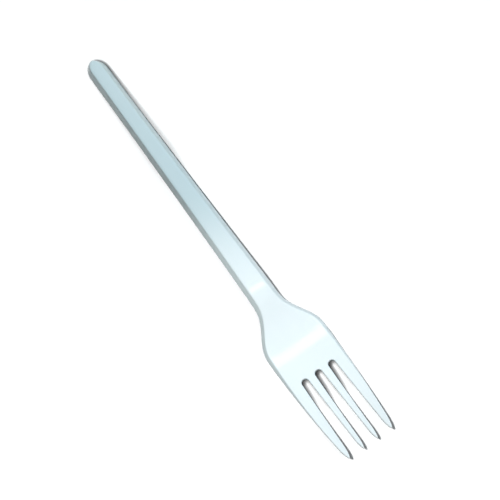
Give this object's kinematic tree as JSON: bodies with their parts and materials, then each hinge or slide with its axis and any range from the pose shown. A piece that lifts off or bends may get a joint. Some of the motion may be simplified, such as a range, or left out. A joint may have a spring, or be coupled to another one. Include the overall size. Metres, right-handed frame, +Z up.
{
  "type": "disposable plastic fork",
  "caption": "Slender white moulded fork: tapered handle over an open channel, flared shoulders, dished head and slim rounded tines, lying face up.",
  "frame": {"origin": "below the middle of the fork's length and width, at the level it rests on", "axes": "+X along the fork from the handle to the tips of the tines, +Y across it, +Z up from the surface it lies on"},
  "size_m": [0.1649, 0.023, 0.0104],
  "materials": {
    "white_plastic": "glossy cool white moulded plastic"
  },
  "bodies": {
    "root": {"fork": "white_plastic"}
  },
  "joints": []
}
